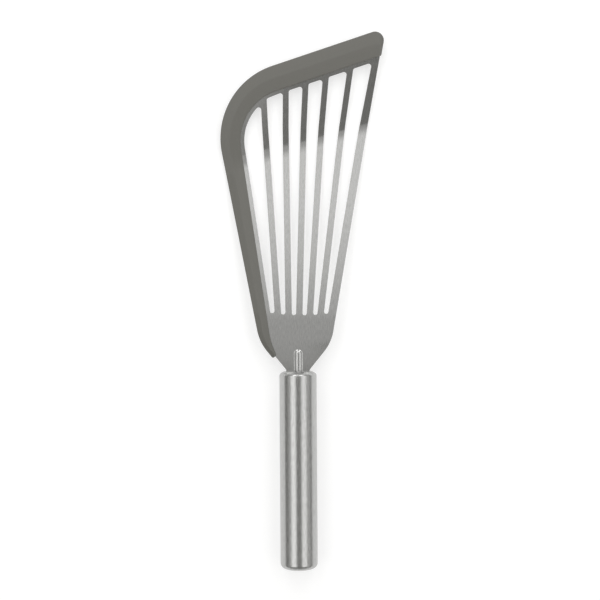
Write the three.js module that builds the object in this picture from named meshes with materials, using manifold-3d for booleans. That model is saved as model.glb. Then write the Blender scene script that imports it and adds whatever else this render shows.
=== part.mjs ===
// A slotted turning spatula with a soft edge, lying on a table as it rests in use.
// Millimetres. The handle lies along Y, the blade points to +Y, +Z is up.
// The blade and its soft edge are drawn flat, as the blank is punched, and then pressed to shape.
import * as THREE from 'three';
import { mergeVertices } from 'three/addons/utils/BufferGeometryUtils.js';
import Module from 'manifold-3d';

const wasm = await Module();
wasm.setup();

// Handle
const HANDLE_LENGTH = 116;
const HANDLE_DIAMETER = 22;
const TUBE_WALL = 0.8;
const FRONT_CAP_LENGTH = 5;
const FRONT_CAP_ROUND = 2.8;
const BUTT_CAP_LENGTH = 7;
const BUTT_CAP_ROUND = 3.2;
const CAP_PLATE = 3;
const SKIRT_LENGTH = 5;
const SKIRT_WALL = 1.4;
const PLUG_LENGTH = 24;
const PIN_DIAMETER = 3;
const PIN_Y = -22;

// Room between pieces that fit into one another
const FIT_CLEARANCE = 0.3;

// Steel blank, drawn flat: y is counted from the front face of the handle
const SHEET = 1;
const TANG_WIDTH = 12.4;
const TANG_LENGTH = 30;
const TANG_END_RADIUS = 2;
const NECK_WIDTH = 13;
const NECK_FLARE_ANGLE = 39;
const NECK_RADIUS = 7;
const SHOULDER_RADIUS = 26;
const PALM_WIDTH = 45.3;
const SIDE_ANGLE = 9.85;
const LEADING_ANGLE = 18.4;
const TIP_CORNER_RADIUS = 3;

// Slots and the bars between them
const SLOT_ROOT = 32.6;
const SLOT_ROOT_ARC = 116;
const SLOT_ROOT_CENTRE = 3;
const SIDE_BAR_WIDTH = 4.8;
const LEFT_BAR_WIDTH = 6.8;
const LEFT_SLOT_ANGLE = 8.55;
const LEFT_SLOT_RADIUS = 27;
const SLOT_CORNER_RADIUS = 1.5;
const SLOT_ROOT_ROUND = 0.48;
const BAR_ROOT_WIDTH = 3.85;
const BAR_TIP_WIDTH = 3.65;
const BAR_TIP_Y = 150;
const BAR_TIP_SHARES = [0.2, 0.374, 0.526, 0.678, 0.853];

// Stiffening rib pressed up along the neck
const RIB_WIDTH = 4.4;
const RIB_HEIGHT = 1.1;
const RIB_END = 12.6;
const RIB_START = -8;
const RIB_SIDE_WALL = 0.8;

// Soft edge moulded round the left side and the leading edge
const LEADING_REACH = 185.45;
const LEADING_OVERHANG = 6.8;
const SIDE_OVERHANG = 3;
const SIDE_EDGE_ANGLE = 11.1;
const TIP_OVERHANG = 0.8;
const CORNER_RADIUS = 45;
const TIP_RADIUS = 5.2;
const LEADING_BAND = 14.7;
const SIDE_BARE_STRIP = 2.4;
const LEADING_BARE_STRIP = 1.9;
const FLARE_OVERHANG = 1.8;
const TAIL_RUN = 3.65;
const TAIL_OVERLAP = 1;
const TAIL_ANGLE = 22;
const TAIL_INNER_RADIUS = 40;
const TAIL_RADIUS = 1;
const LIP_CORNER_RADIUS = 0.6;
const RIDGE_CORNER_RADIUS = 0.2;
const LIP_HEIGHT = 1.5;
const RIDGE_SETBACK = 0.4;
const NOSE_THICKNESS = 1;
const NOSE_SETBACK = 0.3;
const NOSE_LAND = 0.4;

// Holes in the blank under the soft edge, filled by pins of the moulded material
const ANCHOR_DIAMETER = 2.6;
const ANCHOR_PITCH = 12;
const ANCHOR_SIDES = 8;

// Press forming: the palm dips from the neck to the table, the tip turns up along the leading edge
const NECK_BEND_START = 14;
const NECK_BEND_LENGTH = 20;
const NECK_BEND_ANGLE = 5.05;
const TIP_BEND_START = 121;
const TIP_BEND_LENGTH = 10;
const TIP_BEND_ANGLE = 13;
const NECK_STEPS = 2;
const TIP_STEPS = 4;
const REST_ROLL = -1;

// How finely round shapes are divided
const ROUND_SIDES = 48;
const PIN_SIDES = 24;
const PIN_HOLE_SIDES = 16;
const RIB_SIDES = 16;
const RIB_CAP_STEPS = 4;
const CAP_STEPS = 5;
const LARGE_CORNER_STEPS = 14;
const WINDOW_CORNER_STEPS = 8;
const LIP_STEPS = 12;
const SHOULDER_STEPS = 6;
const TIP_ROUND_STEPS = 6;
const SMALL_CORNER_STEPS = 4;
const SLOT_CORNER_STEPS = 3;
const TAIL_STEPS = 2;

// Points nearer than SNAP to a bend line count as on it, and points nearer than MERGE are one point
const SNAP = 0.02;
const MERGE = 1e-4;

const degrees = THREE.MathUtils.degToRad;

// Solids and meshes

/** Turns a closed three.js geometry into a solid that can be joined and cut. */
function solid(geometry) {
  const plain = new THREE.BufferGeometry();
  plain.setAttribute('position', geometry.getAttribute('position').clone());
  if (geometry.index) plain.setIndex(geometry.index.clone());
  const merged = mergeVertices(plain, MERGE);
  const vertProperties = new Float32Array(merged.getAttribute('position').array);
  const corners = merged.index.array;
  const kept = [];
  for (let index = 0; index < corners.length; index += 3) {
    const [a, b, c] = corners.slice(index, index + 3);
    if (a !== b && b !== c && c !== a) kept.push(a, b, c);
  }
  const triVerts = new Uint32Array(kept);
  return new wasm.Manifold(new wasm.Mesh({ numProp: 3, vertProperties, triVerts }));
}

/** Turns a solid back into a three.js geometry. */
function geometryOf(body) {
  const mesh = body.getMesh();
  const geometry = new THREE.BufferGeometry();
  geometry.setAttribute('position', new THREE.BufferAttribute(new Float32Array(mesh.vertProperties), 3));
  geometry.setIndex(new THREE.BufferAttribute(new Uint32Array(mesh.triVerts), 1));
  geometry.computeVertexNormals();
  return geometry;
}

function piece(name, geometry, colour, roughness, metalness) {
  const material = new THREE.MeshStandardMaterial({ color: colour, roughness, metalness });
  const mesh = new THREE.Mesh(geometry, material);
  mesh.name = name;
  return mesh;
}

const brushedSteel = (name, geometry) => piece(name, geometry, 0xc3c4c1, 0.32, 1);
const greySilicone = (name, geometry) => piece(name, geometry, 0x74746f, 0.62, 0);
const nylon = (name, geometry) => piece(name, geometry, 0xd8d5ca, 0.55, 0);

// Flat outlines: loops of straight edges, run anticlockwise, with a rounded corner after each edge

/** A straight edge through (x, y). Its heading is counted from +X, anticlockwise. */
function edge(x, y, heading) {
  const direction = new THREE.Vector2(Math.cos(degrees(heading)), Math.sin(degrees(heading)));
  return { point: new THREE.Vector2(x, y), direction, heading };
}

/** The same edge, moved to the right of its heading, which is outward on an anticlockwise loop. */
function outward(line, distance) {
  const { point, direction, heading } = line;
  return edge(point.x + direction.y * distance, point.y - direction.x * distance, heading);
}

function crossing(a, b) {
  const gap = b.point.clone().sub(a.point);
  const along = gap.cross(b.direction) / a.direction.cross(b.direction);
  return a.point.clone().addScaledVector(a.direction, along);
}

/** The points of a loop of { line, radius, steps }: each corner is an arc of that many steps. */
function loopPoints(loop) {
  const points = [];
  loop.forEach(({ line, radius, steps }, index) => {
    const next = loop[(index + 1) % loop.length].line;
    const corner = crossing(line, next);
    const turn = Math.atan2(line.direction.cross(next.direction), line.direction.dot(next.direction));
    const tangent = radius * Math.tan(Math.abs(turn) / 2);
    const from = corner.clone().addScaledVector(line.direction, -tangent);
    const inward = new THREE.Vector2(-line.direction.y, line.direction.x);
    const centre = from.clone().addScaledVector(inward, Math.sign(turn) * radius);
    for (let step = 0; step <= steps; step += 1) {
      points.push(from.clone().rotateAround(centre, (turn * step) / steps));
    }
  });
  return points;
}

/** The loop grown by a distance on every side: outer corners get larger, inner ones smaller. */
function grown(loop, distance) {
  return loop.map(({ line, radius, steps }, index) => {
    const next = loop[(index + 1) % loop.length].line;
    const bulge = Math.sign(line.direction.cross(next.direction)) * distance;
    return { line: outward(line, distance), radius: Math.max(radius + bulge, 0), steps };
  });
}

function plate(points, holes, thickness) {
  const shape = new THREE.Shape(points);
  shape.holes = holes.map((hole) => new THREE.Path(hole));
  const geometry = new THREE.ExtrudeGeometry(shape, { depth: thickness, bevelEnabled: false });
  return geometry.translate(0, 0, -thickness / 2);
}

function circlePoints(centre, radius, sides) {
  const curve = new THREE.EllipseCurve(centre.x, centre.y, radius, radius);
  return curve.getPoints(sides).slice(0, sides);
}

// Edges of the steel blank
const palmHalf = PALM_WIDTH / 2;
const tangHalf = TANG_WIDTH / 2;
const rightSide = edge(palmHalf, SLOT_ROOT, 90 - SIDE_ANGLE);
const leftSide = edge(-palmHalf, SLOT_ROOT, 270 + SIDE_ANGLE);
const leadingEdge = edge(0, LEADING_REACH, 180 + LEADING_ANGLE);
const steelTop = outward(leadingEdge, -LEADING_OVERHANG);
const tipNormal = outward({ ...leadingEdge, point: new THREE.Vector2() }, 1).point;
const rightFlare = edge(NECK_WIDTH / 2, 0, 90 - NECK_FLARE_ANGLE);
const leftFlare = edge(-NECK_WIDTH / 2, 0, 270 + NECK_FLARE_ANGLE);

const blankLoop = [
  { line: rightSide, radius: TIP_CORNER_RADIUS, steps: SMALL_CORNER_STEPS },
  { line: steelTop, radius: CORNER_RADIUS - LEADING_OVERHANG, steps: LARGE_CORNER_STEPS },
  { line: leftSide, radius: SHOULDER_RADIUS, steps: SHOULDER_STEPS },
  { line: leftFlare, radius: NECK_RADIUS, steps: SMALL_CORNER_STEPS },
  { line: edge(-tangHalf, 0, 270), radius: TANG_END_RADIUS, steps: SMALL_CORNER_STEPS },
  { line: edge(0, -TANG_LENGTH, 0), radius: TANG_END_RADIUS, steps: SMALL_CORNER_STEPS },
  { line: edge(tangHalf, 0, 90), radius: NECK_RADIUS, steps: SMALL_CORNER_STEPS },
  { line: rightFlare, radius: SHOULDER_RADIUS, steps: SHOULDER_STEPS },
];

// Slots: the window inside the blade, shared out between the bars
const windowLeft = edge(LEFT_BAR_WIDTH - palmHalf, SLOT_ROOT, 270 + LEFT_SLOT_ANGLE);
const windowRight = outward(rightSide, -SIDE_BAR_WIDTH);
const windowTop = outward(leadingEdge, -LEADING_BAND - LEADING_BARE_STRIP);
const windowCentre = crossing(
  outward(windowLeft, -LEFT_SLOT_RADIUS),
  outward(windowTop, -LEFT_SLOT_RADIUS),
);

/** The upper edge of the window above a given x: straight, or a tangent of its round left corner. */
function windowTopAt(x) {
  const arcEnd = outward({ ...windowTop, point: windowCentre }, LEFT_SLOT_RADIUS).point;
  if (x > arcEnd.x) return windowTop;
  const swing = Math.acos((x - windowCentre.x) / LEFT_SLOT_RADIUS);
  const touch = new THREE.Vector2(Math.cos(swing), Math.sin(swing)).multiplyScalar(LEFT_SLOT_RADIUS);
  touch.add(windowCentre);
  return edge(touch.x, touch.y, 90 + THREE.MathUtils.radToDeg(swing));
}

/** The two ends of the window's width at a height on the blank. */
function windowAt(y) {
  const level = edge(0, y, 0);
  return [crossing(windowLeft, level).x, crossing(windowRight, level).x];
}

/** The middle of each bar: the bars leave equal slots at the root and have their shares at the tip. */
const bars = BAR_TIP_SHARES.map((share, index) => {
  const [rootLeft, rootRight] = windowAt(SLOT_ROOT);
  const free = rootRight - rootLeft - BAR_TIP_SHARES.length * BAR_ROOT_WIDTH;
  const slotWidth = free / (BAR_TIP_SHARES.length + 1);
  const root = rootLeft + (index + 1) * slotWidth + (index + 0.5) * BAR_ROOT_WIDTH;
  return { root, tip: THREE.MathUtils.lerp(...windowAt(BAR_TIP_Y), share) };
});

/** One side of a bar, side -1 for the left and 1 for the right, run up or down the blade. */
function barSide({ root, tip }, side, up) {
  const rootX = root + (side * BAR_ROOT_WIDTH) / 2;
  const tipX = tip + (side * BAR_TIP_WIDTH) / 2;
  const lean = THREE.MathUtils.radToDeg(Math.atan2(tipX - rootX, BAR_TIP_Y - SLOT_ROOT));
  return edge(rootX, SLOT_ROOT, up ? 90 - lean : 270 - lean);
}

/** How far up a slot begins: the roots of all slots touch one shallow arc. */
function rootLevel(left, right) {
  const root = edge(0, SLOT_ROOT, 0);
  const x = (crossing(left, root).x + crossing(right, root).x) / 2 - SLOT_ROOT_CENTRE;
  return SLOT_ROOT + SLOT_ROOT_ARC - Math.sqrt(SLOT_ROOT_ARC ** 2 - x ** 2);
}

function slotPoints(index) {
  const first = index === 0;
  const left = first ? windowLeft : barSide(bars[index - 1], 1, false);
  const right = index === bars.length ? windowRight : barSide(bars[index], -1, true);
  const root = edge(0, rootLevel(left, right), 0);
  const rootLeft = crossing(left, root).x;
  const rootRight = crossing(right, root).x;
  const rootRadius = (rootRight - rootLeft) * SLOT_ROOT_ROUND;
  const level = edge(0, windowCentre.y + LEFT_SLOT_RADIUS / 2, 0);
  const rightX = crossing(right, level).x;
  const middleX = (rightX + crossing(left, level).x) / 2;
  const top = windowTopAt(first ? rightX - 2 * SLOT_CORNER_RADIUS : middleX);
  const small = { radius: SLOT_CORNER_RADIUS, steps: SLOT_CORNER_STEPS };
  const large = { radius: LEFT_SLOT_RADIUS, steps: WINDOW_CORNER_STEPS };
  return loopPoints([
    { line: right, ...small },
    { line: top, ...(first ? large : small) },
    { line: left, radius: rootRadius, steps: SLOT_CORNER_STEPS },
    { line: root, radius: rootRadius, steps: SLOT_CORNER_STEPS },
  ]);
}

// Anchor holes: a row under the leading band and a row under the left band
const bandTop = outward(leadingEdge, -LEADING_BAND);
const bandLeft = outward(windowLeft, SIDE_BARE_STRIP);

/** Points at even steps along the middle between two edges, from one place to another. */
function rowBetween(outer, inner, start, end) {
  const middle = start.clone().add(end).multiplyScalar(0.5);
  const count = Math.floor(start.distanceTo(end) / ANCHOR_PITCH);
  const along = end.clone().sub(start).normalize();
  const across = new THREE.Vector2(-along.y, along.x);
  const points = [];
  for (let index = 0; index <= count; index += 1) {
    const station = middle.clone().addScaledVector(along, (index - count / 2) * ANCHOR_PITCH);
    const cut = { point: station, direction: across };
    points.push(crossing(cut, outer).add(crossing(cut, inner)).multiplyScalar(0.5));
  }
  return points;
}

const leadingFrom = crossing(steelTop, edge(windowCentre.x, 0, 90));
const leadingTo = crossing(steelTop, outward(rightSide, -ANCHOR_PITCH / 2));
const sideFrom = crossing(leftSide, edge(0, SLOT_ROOT + ANCHOR_PITCH, 0));
const sideTo = crossing(leftSide, edge(0, windowCentre.y - ANCHOR_PITCH, 0));
const anchors = [
  ...rowBetween(steelTop, bandTop, leadingFrom, leadingTo),
  ...rowBetween(leftSide, bandLeft, sideFrom, sideTo),
];

// Press forming

/** The plan lines along which a pressed piece is divided, so that it can bend. */
function bendLines() {
  const lines = [];
  for (let step = 0; step <= NECK_STEPS; step += 1) {
    const offset = NECK_BEND_START + (NECK_BEND_LENGTH * step) / NECK_STEPS;
    lines.push({ direction: new THREE.Vector2(0, 1), offset });
  }
  for (let step = 0; step <= TIP_STEPS; step += 1) {
    const offset = TIP_BEND_START + (TIP_BEND_LENGTH * step) / TIP_STEPS;
    lines.push({ direction: tipNormal, offset });
  }
  return lines;
}

/** Divides a triangle along a plan line. A corner that is almost on the line counts as on it. */
function divided(triangle, { direction, offset }) {
  const sides = triangle.map((corner) => {
    const distance = corner.x * direction.x + corner.y * direction.y - offset;
    return Math.abs(distance) < SNAP ? 0 : distance;
  });
  if (sides.every((side) => side >= 0) || sides.every((side) => side <= 0)) return [triangle];
  const above = [];
  const below = [];
  triangle.forEach((corner, index) => {
    const next = (index + 1) % 3;
    if (sides[index] >= 0) above.push(corner);
    if (sides[index] <= 0) below.push(corner);
    if (sides[index] * sides[next] < 0) {
      const [low, high] = sides[index] < sides[next] ? [index, next] : [next, index];
      const share = sides[low] / (sides[low] - sides[high]);
      const cut = triangle[low].clone().lerp(triangle[high], share);
      above.push(cut);
      below.push(cut);
    }
  });
  const fan = (loop) => loop.slice(2).map((corner, index) => [loop[0], loop[index + 1], corner]);
  return [...fan(above), ...fan(below)];
}

/** Where a point past the start of a bend comes to lie: a negative angle bends it down. */
function bent(past, z, length, angle) {
  if (past <= 0) return { along: past, z };
  const radius = length / angle;
  const swing = angle * Math.min(past / length, 1);
  const straight = Math.max(past - length, 0);
  const along = (radius - z) * Math.sin(swing) + straight * Math.cos(swing);
  return { along, z: radius - (radius - z) * Math.cos(swing) + straight * Math.sin(swing) };
}

/** Moves a point of the flat blank to its place on the pressed blade. */
function pressedPoint(point) {
  const past = point.x * tipNormal.x + point.y * tipNormal.y - TIP_BEND_START;
  const tip = bent(past, point.z, TIP_BEND_LENGTH, degrees(TIP_BEND_ANGLE));
  const x = point.x + tipNormal.x * (tip.along - past);
  const y = point.y + tipNormal.y * (tip.along - past);
  const neck = bent(y - NECK_BEND_START, tip.z, NECK_BEND_LENGTH, degrees(-NECK_BEND_ANGLE));
  return new THREE.Vector3(x, NECK_BEND_START + neck.along, neck.z);
}

function pressed(body) {
  const geometry = geometryOf(body).toNonIndexed();
  const position = geometry.getAttribute('position');
  let triangles = [];
  for (let index = 0; index < position.count; index += 3) {
    const corners = [index, index + 1, index + 2];
    triangles.push(corners.map((corner) => new THREE.Vector3().fromBufferAttribute(position, corner)));
  }
  bendLines().forEach((line) => {
    triangles = triangles.flatMap((triangle) => divided(triangle, line));
  });
  const formed = new THREE.BufferGeometry().setFromPoints(triangles.flat().map(pressedPoint));
  const merged = mergeVertices(formed, MERGE);
  merged.computeVertexNormals();
  return merged;
}

// Blade

/** A long rounded bead along Y: half an ellipse in section, with a dome at each end. */
function bead(width, height, start, end, level) {
  const radius = width / 2;
  const geometry = new THREE.CapsuleGeometry(radius, end - start - width, RIB_CAP_STEPS, RIB_SIDES);
  geometry.scale(1, 1, height / radius);
  geometry.translate(0, (start + end) / 2, level);
  return solid(geometry);
}

/** The rib on the upper face of the blank, enlarged by a margin when it serves as a cutter. */
function rib(margin) {
  const height = SHEET / 2 + RIB_HEIGHT + margin;
  const body = bead(RIB_WIDTH + 2 * margin, height, RIB_START - margin, RIB_END + margin, 0);
  const above = new THREE.BoxGeometry(NECK_WIDTH, HANDLE_LENGTH, height);
  return body.intersect(solid(above.translate(0, 0, height / 2)));
}

const slots = [...bars, null].map((_, index) => slotPoints(index));
const pinHole = new THREE.Vector2(0, PIN_Y);

function bladeBlank() {
  const holes = anchors.map((anchor) => circlePoints(anchor, ANCHOR_DIAMETER / 2, ANCHOR_SIDES));
  holes.push(circlePoints(pinHole, PIN_DIAMETER / 2 + FIT_CLEARANCE, PIN_HOLE_SIDES));
  const sheet = solid(plate(loopPoints(blankLoop), [...slots, ...holes], SHEET));
  const grooveWidth = RIB_WIDTH - 2 * RIB_SIDE_WALL;
  const groove = bead(grooveWidth, RIB_HEIGHT, RIB_START + SHEET, RIB_END - SHEET, -SHEET / 2);
  return sheet.add(rib(0)).subtract(groove);
}

/** The room that the steel takes up inside another piece, with its clearance. */
function steelRoom(holes) {
  const outline = loopPoints(grown(blankLoop, FIT_CLEARANCE));
  return solid(plate(outline, holes, SHEET + 2 * FIT_CLEARANCE));
}

// Soft edge

const reversed = ({ point, heading }) => edge(point.x, point.y, heading - 180);

/** Joins outlines with the same number of points, one above the other, into a closed body. */
function loft(rings) {
  const count = rings[0].points.length;
  const corners = rings.flatMap(({ points, z }) => {
    return points.map((point) => new THREE.Vector3(point.x, point.y, z));
  });
  const index = [];
  for (let ring = 0; ring + 1 < rings.length; ring += 1) {
    for (let step = 0; step < count; step += 1) {
      const a = ring * count + step;
      const b = ring * count + ((step + 1) % count);
      index.push(a, b, b + count, a, b + count, a + count);
    }
  }
  const last = (rings.length - 1) * count;
  THREE.ShapeUtils.triangulateShape(rings[0].points, []).forEach(([a, b, c]) => index.push(c, b, a));
  THREE.ShapeUtils.triangulateShape(rings.at(-1).points, []).forEach(([a, b, c]) => {
    index.push(last + a, last + b, last + c);
  });
  const geometry = new THREE.BufferGeometry().setFromPoints(corners);
  geometry.setIndex(index);
  return solid(geometry);
}

const shoulderRun = SHOULDER_RADIUS * Math.tan(degrees(NECK_FLARE_ANGLE - SIDE_ANGLE) / 2);
const shoulderCorner = crossing(leftSide, leftFlare);
const tailPoint = shoulderCorner.addScaledVector(leftFlare.direction, shoulderRun + TAIL_RUN);
const tailCut = edge(tailPoint.x, tailPoint.y, NECK_FLARE_ANGLE);
const tailInner = tailPoint.clone().addScaledVector(tailCut.direction, TAIL_OVERLAP);
const tailEdge = edge(tailInner.x, tailInner.y, 90 + TAIL_ANGLE);
const innerEdges = [
  { line: tailEdge, radius: TAIL_INNER_RADIUS, steps: SMALL_CORNER_STEPS },
  { line: reversed(bandLeft), radius: LEFT_SLOT_RADIUS + SIDE_BARE_STRIP, steps: LIP_STEPS },
  { line: reversed(bandTop), radius: LIP_CORNER_RADIUS, steps: SLOT_CORNER_STEPS },
];

/** The rim of the soft edge, set back from its outermost line. */
function rimLoop(setback) {
  const sideEdge = edge(-palmHalf - SIDE_OVERHANG, SLOT_ROOT, 270 + SIDE_EDGE_ANGLE);
  const flareEdge = outward(leftFlare, FLARE_OVERHANG);
  const tipEdge = outward(rightSide, TIP_OVERHANG - setback);
  return [
    { line: tipEdge, radius: TIP_RADIUS - setback, steps: TIP_ROUND_STEPS },
    { line: outward(leadingEdge, -setback), radius: CORNER_RADIUS - setback, steps: LARGE_CORNER_STEPS },
    { line: outward(sideEdge, -setback), radius: SHOULDER_RADIUS + FLARE_OVERHANG, steps: SHOULDER_STEPS },
    { line: outward(flareEdge, -setback), radius: TAIL_RADIUS - setback, steps: SMALL_CORNER_STEPS },
    { line: outward(tailCut, -setback), radius: RIDGE_CORNER_RADIUS, steps: TAIL_STEPS },
    ...innerEdges,
  ];
}

/** The line where the soft edge reaches its full thickness, just inside the rim of the steel. */
function ridgeLoop() {
  const tip = TIP_CORNER_RADIUS - RIDGE_SETBACK;
  const corner = CORNER_RADIUS - LEADING_OVERHANG - RIDGE_SETBACK;
  const shoulder = SHOULDER_RADIUS - RIDGE_SETBACK;
  return [
    { line: outward(rightSide, -RIDGE_SETBACK), radius: tip, steps: TIP_ROUND_STEPS },
    { line: outward(steelTop, -RIDGE_SETBACK), radius: corner, steps: LARGE_CORNER_STEPS },
    { line: outward(leftSide, -RIDGE_SETBACK), radius: shoulder, steps: SHOULDER_STEPS },
    { line: outward(leftFlare, -RIDGE_SETBACK), radius: RIDGE_CORNER_RADIUS, steps: SMALL_CORNER_STEPS },
    { line: outward(tailCut, -RIDGE_SETBACK), radius: RIDGE_CORNER_RADIUS, steps: TAIL_STEPS },
    ...innerEdges,
  ];
}

function softEdge() {
  const half = SHEET / 2 + LIP_HEIGHT;
  const levels = [
    { points: loopPoints(ridgeLoop()), z: half },
    { points: loopPoints(rimLoop(NOSE_SETBACK)), z: NOSE_THICKNESS / 2 },
    { points: loopPoints(rimLoop(0)), z: NOSE_LAND / 2 },
  ];
  const lower = levels.map(({ points, z }) => ({ points, z: -z }));
  const pinRadius = ANCHOR_DIAMETER / 2 - FIT_CLEARANCE;
  const pins = anchors.map((anchor) => circlePoints(anchor, pinRadius, ANCHOR_SIDES));
  return loft([...lower, ...levels.reverse()]).subtract(steelRoom(pins));
}

// Handle

const handleRadius = HANDLE_DIAMETER / 2;
const boreRadius = handleRadius - TUBE_WALL;
const fitRadius = boreRadius - FIT_CLEARANCE;

/** A body turned about the Y axis. One flat facet of it faces the table. */
function turned(profile) {
  const points = profile.map(([radius, y]) => new THREE.Vector2(radius, y));
  const start = Math.PI / ROUND_SIDES - degrees(REST_ROLL);
  return solid(new THREE.LatheGeometry(points, ROUND_SIDES, start));
}

/** A cap for one end of the tube: its outside at y = 0, the tube's end at y = -length, a skirt inside. */
function capProfile(length, round) {
  const skirtEnd = -length - SKIRT_LENGTH;
  const skirtBore = fitRadius - SKIRT_WALL;
  const rounding = Array.from({ length: CAP_STEPS + 1 }, (_, step) => {
    const swing = (Math.PI / 2) * (step / CAP_STEPS);
    return [handleRadius - round + round * Math.sin(swing), -round + round * Math.cos(swing)];
  });
  const shoulder = [[handleRadius, -length], [fitRadius, -length]];
  const skirt = [[fitRadius, skirtEnd], [skirtBore, skirtEnd], [skirtBore, -CAP_PLATE]];
  return [[0, 0], ...rounding, ...shoulder, ...skirt, [0, -CAP_PLATE]].reverse();
}

const tubeFront = -FRONT_CAP_LENGTH;
const tubeBack = -HANDLE_LENGTH + BUTT_CAP_LENGTH;

function handleTube() {
  const outside = [[handleRadius, tubeBack], [handleRadius, tubeFront]];
  const inside = [[boreRadius, tubeFront], [boreRadius, tubeBack]];
  return turned([...outside, ...inside, outside[0]]);
}

function frontCap() {
  const closed = turned(capProfile(FRONT_CAP_LENGTH, FRONT_CAP_ROUND));
  return closed.subtract(steelRoom([])).subtract(rib(FIT_CLEARANCE));
}

function buttCap() {
  const profile = capProfile(BUTT_CAP_LENGTH, BUTT_CAP_ROUND);
  const mirrored = profile.map(([radius, y]) => [radius, -y - HANDLE_LENGTH]);
  return turned(mirrored.reverse());
}

function pinAlongZ(radius, length) {
  const geometry = new THREE.CylinderGeometry(radius, radius, length, PIN_SIDES);
  return solid(geometry.rotateX(Math.PI / 2).translate(pinHole.x, pinHole.y, 0));
}

function tangPlug() {
  const front = tubeFront - SKIRT_LENGTH - FIT_CLEARANCE;
  const back = front - PLUG_LENGTH;
  const body = turned([[0, back], [fitRadius, back], [fitRadius, front], [0, front]]);
  const bore = pinAlongZ(PIN_DIAMETER / 2 + FIT_CLEARANCE, HANDLE_DIAMETER);
  return body.subtract(steelRoom([])).subtract(bore);
}

const tangPin = () => pinAlongZ(PIN_DIAMETER / 2, 2 * (fitRadius - FIT_CLEARANCE));

// Assembly: the whole spatula lies on its handle and on the belly of the blade

const assembly = new THREE.Group();
assembly.add(
  brushedSteel('blade', pressed(bladeBlank())),
  greySilicone('silicone_edge', pressed(softEdge())),
  brushedSteel('handle_tube', geometryOf(handleTube())),
  brushedSteel('front_cap', geometryOf(frontCap())),
  brushedSteel('butt_cap', geometryOf(buttCap())),
  nylon('tang_plug', geometryOf(tangPlug())),
  brushedSteel('tang_pin', geometryOf(tangPin())),
);
assembly.rotation.y = degrees(REST_ROLL);

const spatula = new THREE.Group();
spatula.add(assembly);
const extent = new THREE.Box3().setFromObject(spatula, true);
const middle = extent.getCenter(new THREE.Vector3());
assembly.position.set(-middle.x, -middle.y, -extent.min.z);

export default spatula;
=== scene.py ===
# %% [markdown]
# # A slotted spatula with a soft edge
#
# This lesson dresses a finished CAD spatula for a studio picture. The CAD solids are right in size
# but cut into flat facets, which show at once on polished steel. Each visible piece is therefore made
# again here, with finer curves and rounded edges, in the same place and within about a millimetre of
# the CAD surface.

# %% Load the CAD frame
import math

import bmesh
import bpy
from mathutils import Matrix, Vector


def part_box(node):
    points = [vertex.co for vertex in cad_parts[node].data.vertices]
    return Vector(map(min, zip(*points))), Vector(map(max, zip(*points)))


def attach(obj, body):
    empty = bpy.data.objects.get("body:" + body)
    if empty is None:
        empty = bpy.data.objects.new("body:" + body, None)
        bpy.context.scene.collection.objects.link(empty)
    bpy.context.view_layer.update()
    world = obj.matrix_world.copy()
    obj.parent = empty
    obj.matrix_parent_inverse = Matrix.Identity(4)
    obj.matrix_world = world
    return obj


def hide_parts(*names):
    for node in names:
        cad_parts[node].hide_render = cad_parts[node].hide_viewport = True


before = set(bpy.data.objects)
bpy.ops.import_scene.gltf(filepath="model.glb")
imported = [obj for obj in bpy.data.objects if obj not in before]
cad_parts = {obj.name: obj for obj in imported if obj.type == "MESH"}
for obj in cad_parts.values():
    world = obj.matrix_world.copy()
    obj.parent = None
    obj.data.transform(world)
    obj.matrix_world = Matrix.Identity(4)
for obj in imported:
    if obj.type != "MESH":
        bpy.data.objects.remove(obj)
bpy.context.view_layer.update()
print("CAD nodes:", ", ".join(sorted(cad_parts)))

# %% [markdown]
# ## Where things are
#
# Sheet metal is drawn flat in millimetres, with y counted from the front face of the handle and x
# from its axis. The CAD boxes say where that face and axis are in the scene, so nothing is placed by
# eye. The whole spatula is rolled a little about its handle until the belly of the blade meets the table.

# %% The handle's place in the scene
MM = 0.001
REST_ROLL = math.radians(-0.8)

tube_low, tube_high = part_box("handle_tube")
tube_middle = (tube_low + tube_high) / 2
handle_radius = (tube_high.z - tube_low.z) / 2 / MM
front_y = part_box("front_cap")[1].y
butt_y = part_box("butt_cap")[0].y
handle_length = (front_y - butt_y) / MM
to_scene = (
    Matrix.Translation((tube_middle.x, front_y, tube_middle.z))
    @ Matrix.Rotation(REST_ROLL, 4, "Y")
    @ Matrix.Scale(MM, 4)
)
print(f"handle: radius {handle_radius:.2f} mm, length {handle_length:.1f} mm")

# %% [markdown]
# ## Outlines from straight edges
#
# A punched blank is straight edges joined by round corners. Each edge here is a point and a heading,
# and a corner is found where two edges cross. Changing one angle then moves every corner that depends
# on it, which a list of typed points would not do.

# %% Edges, crossings and rounded loops
def edge(x, y, heading):
    """A straight edge through (x, y), its heading in degrees counted from +X."""
    turn = math.radians(heading)
    return Vector((x, y)), Vector((math.cos(turn), math.sin(turn)))


def outward(line, distance):
    """The edge moved to the right of its heading, which is outward on an anticlockwise loop."""
    point, along = line
    return point + Vector((along.y, -along.x)) * distance, along


def crossing(a, b):
    return a[0] + a[1] * ((b[0] - a[0]).cross(b[1]) / a[1].cross(b[1]))


def rounded(loop):
    """Points of a loop of (edge, corner radius, steps), each corner drawn as an arc."""
    points = []
    for (line, radius, steps), (following, _, _) in zip(loop, loop[1:] + loop[:1]):
        turn = math.atan2(line[1].cross(following[1]), line[1].dot(following[1]))
        start = crossing(line, following) - line[1] * radius * math.tan(abs(turn) / 2)
        centre = start + Vector((-line[1].y, line[1].x)) * math.copysign(radius, turn)
        for step in range(steps + 1):
            spoke = (start - centre).copy()
            spoke.rotate(Matrix.Rotation(turn * step / steps, 2))
            points.append(centre + spoke)
    return points


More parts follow.
